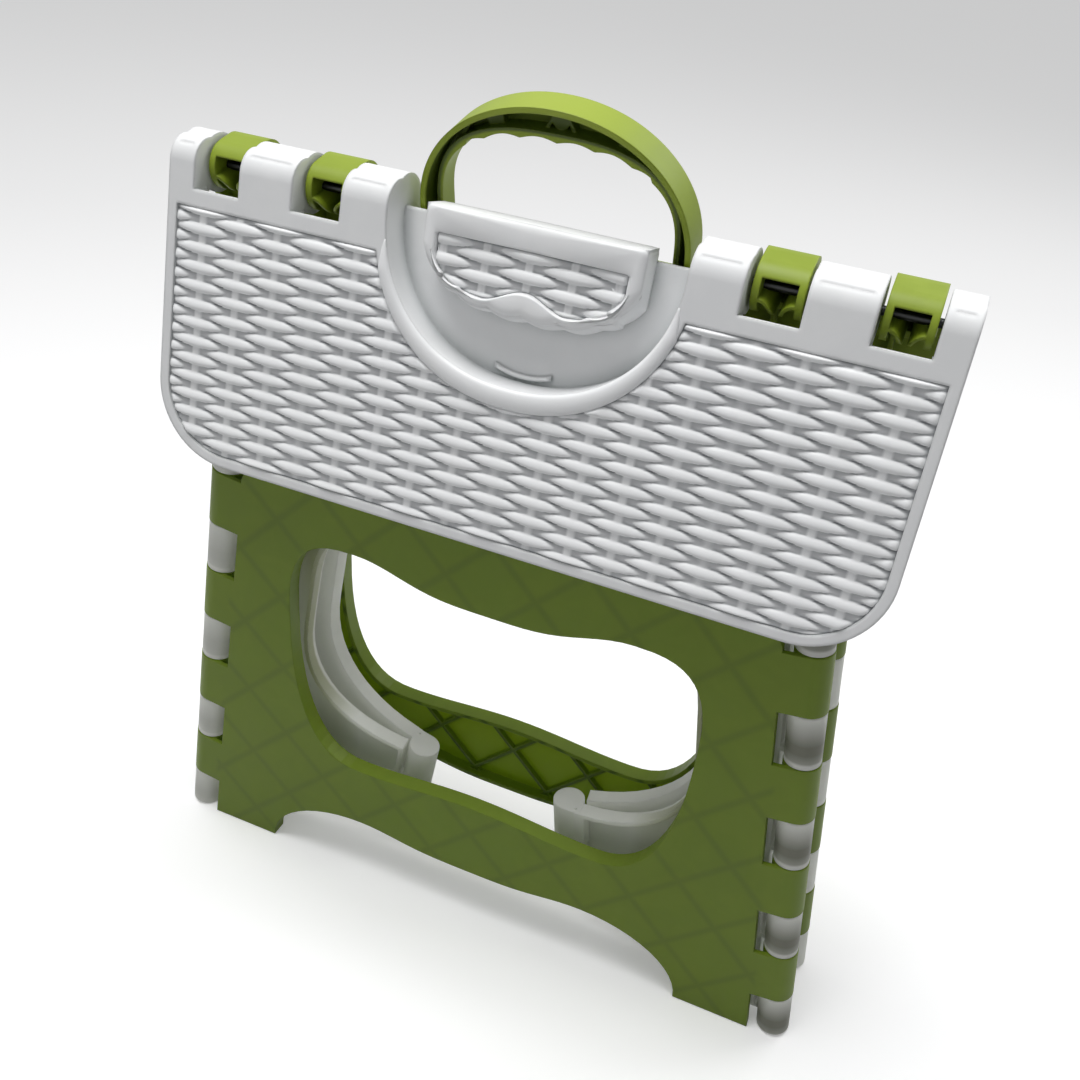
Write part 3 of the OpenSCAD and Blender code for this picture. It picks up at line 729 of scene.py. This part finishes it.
def rim_outline(turn):
    """Radius and depth of the rim on one ray, from the foot of its side to its inner foot."""
    line = []
    for depth in RIM_SIDE_DEPTHS:
        line.append((reach(lambda x, z: in_island(x, z, depth), turn) + RIM_OUT, depth))
    outer = reach(lambda x, z: in_island(x, z, RIM_FRAME_DEPTH), turn) + RIM_OUT
    inner = reach(lambda x, z: island_distance(x, z) > 0.1, turn)
    for k in range(SOFT_STEPS + 1):
        line.append(soft_edge(outer, -SOFT_OUTER, k))
    for k in range(SOFT_STEPS, -1, -1):
        line.append(soft_edge(inner, SOFT_INNER, k))
    line.append((inner, RIM_LOW - RIM_FOOT))
    return line


rim_sections = []
for i in range(RIM_STEPS):
    turn = 2 * math.pi * i / RIM_STEPS
    rim_sections.append([(r * math.cos(turn), -d, RIM_MIDDLE + r * math.sin(turn))
                         for r, d in rim_outline(turn)])
rim = loft("island_rim", rim_sections, True, white_relief, "seat_front")


# Rounded bead round the recess

BEAD_END, BEAD_FADE = -11.0, 9.0
BEAD_STEPS, BEAD_QUARTER = 64, 66
BEAD_HEIGHT, BEAD_SINK, BEAD_BACK = 1.5, 0.04, 0.8
BEAD_INNER_GAP, BEAD_OUTER_GAP = 0.1, 0.2


def d_point(t, half, down):
    """A point of a rounded D that hangs from the hinge line, at t from -1 to 1."""
    turn = math.radians(90 * t)
    x = math.copysign(abs(math.sin(turn)) ** (2 / BEAD_POWER), turn) * half
    return x, -down * max(0.0, math.cos(turn)) ** (2 / BEAD_POWER)


bead_rows = []
for i in range(-BEAD_STEPS, BEAD_STEPS + 1):
    t = i / BEAD_QUARTER
    inner = d_point(t, RECESS_HALF + BEAD_INNER_GAP, RECESS_REACH + BEAD_INNER_GAP)
    outer = d_point(t, BEAD_HALF + BEAD_OUTER_GAP, BEAD_REACH + BEAD_OUTER_GAP)
    share = min(1.0, (BEAD_END - inner[1]) / BEAD_FADE)
    if share > 0:
        wide = min(1.0, 0.1 + share)
        outer = (inner[0] + (outer[0] - inner[0]) * wide, inner[1] + (outer[1] - inner[1]) * wide)
        bead_rows.append((inner, outer, share))
bead = rounded_strip("recess_bead", bead_rows, BEAD_HEIGHT, -FACE + BEAD_SINK, BEAD_BACK,
                     white_relief, "seat_front")


# Curved rib on the floor of the recess

SMILE_RADIUS, SMILE_REACH, SMILE_HALF, SMILE_WIDTH = 31.5, 51.0, 11.0, 1.9
SMILE_HEIGHT, SMILE_SINK, SMILE_BACK = 1.9, 0.05, 0.6
SMILE_STEPS, SMILE_TAPER, SMILE_SLICES = 24, 3, 6

smile_rows = []
for i in range(-SMILE_STEPS, SMILE_STEPS + 1):
    turn = math.asin(SMILE_HALF / SMILE_RADIUS) * i / SMILE_STEPS
    share = min(1.0, (SMILE_STEPS - abs(i)) / SMILE_TAPER) ** 0.5
    ends = []
    for r in (SMILE_RADIUS, SMILE_RADIUS - SMILE_WIDTH):
        ends.append((r * math.sin(turn), SMILE_RADIUS - SMILE_REACH - r * math.cos(turn)))
    smile_rows.append((ends[0], ends[1], share))
smile = rounded_strip("recess_rib", smile_rows, SMILE_HEIGHT, RECESS_FLOOR + SMILE_SINK,
                      SMILE_BACK, white_relief, "seat_front", SMILE_SLICES)


# Floor, backdrop and lights. The floor runs on far behind the stool and fades in tone.

FLOOR_SIZE, FLOOR_DROP = 8, 0.0004
FAR_Y, FAR_X = 0.95, -0.30
FAR_START, FAR_END = 0.12, 0.95
MOTTLE_SCALE, MOTTLE_SHARE = 5.0, 0.04
GLOW_NEAR, GLOW_FAR = 0.22, 0.47
SEEN_NEAR, SEEN_FAR = 0.92, 0.5
BOUNCE = 0.47
SKY_COLOR, SKY_STRENGTH, SKY_SEEN = (0.97, 0.98, 1.0, 1), 0.24, 0.66
LIGHT_AIM = (0, 0, 0.2)
LIGHTS = {
    "key": ((-0.25, -0.10, 1.8), 0.9, 23),
    "rim": ((0.7, 1.0, 1.2), 0.9, 7),
    "front": ((-0.6, -1.5, 0.9), 1.2, 2.0),
}


def seen_ray(g):
    """1 for a ray that shows a surface, straight, mirrored or passed through, and 0 for light."""
    path = g.node("ShaderNodeLightPath").outputs
    passed_on = g.most(path["Is Glossy Ray"], path["Is Transmission Ray"])
    return g.most(path["Is Camera Ray"], passed_on)


def floor_material():
    mat, g = new_material("floor")
    where = g.node("ShaderNodeTexCoord").outputs["Object"]
    x, y = g.split(where)[:2]
    far = g.add(g.mul(y, FAR_Y), g.mul(x, FAR_X))
    mottle = g.sub(g.noise(where, MOTTLE_SCALE, 2.0), 0.5)
    tone = g.add(g.ramp(far, FAR_START, FAR_END), g.mul(mottle, MOTTLE_SHARE))
    seen = seen_ray(g)
    color = g.mix(seen, grey(BOUNCE), g.mix(tone, grey(SEEN_NEAR), grey(SEEN_FAR)))
    glow = g.mix(tone, grey(GLOW_NEAR), grey(GLOW_FAR))
    diffuse = g.node("ShaderNodeBsdfDiffuse", {"Color": color}).outputs[0]
    emit = g.node("ShaderNodeEmission", {"Color": glow, "Strength": seen}).outputs[0]
    g.surface(g.node("ShaderNodeAddShader", {0: diffuse, 1: emit}).outputs[0])
    return mat


bm = bmesh.new()
bmesh.ops.create_grid(bm, x_segments=2, y_segments=2, size=FLOOR_SIZE)
mesh = bpy.data.meshes.new("floor")
bm.to_mesh(mesh)
bm.free()
floor = bpy.data.objects.new("floor", mesh)
scene.collection.objects.link(floor)
floor.location = (0, 0, -FLOOR_DROP)
mesh.materials.append(floor_material())

world = bpy.data.worlds.new("world")
scene.world = world
g = Graph(world, "ShaderNodeOutputWorld")
sky = g.node("ShaderNodeBackground", {"Color": SKY_COLOR, "Strength": SKY_STRENGTH}).outputs[0]
backdrop = g.node("ShaderNodeBackground", {"Color": grey(SKY_SEEN)}).outputs[0]
g.surface(g.node("ShaderNodeMixShader", {0: seen_ray(g), 1: sky, 2: backdrop}).outputs[0])

for name, (place, size, power) in LIGHTS.items():
    data = bpy.data.lights.new(name, "AREA")
    data.size = size
    data.energy = power
    light = bpy.data.objects.new(name, data)
    scene.collection.objects.link(light)
    light.location = place
    aim = Vector(LIGHT_AIM) - Vector(place)
    light.rotation_euler = aim.to_track_quat("-Z", "Y").to_euler()

scene.view_settings.view_transform = "Standard"
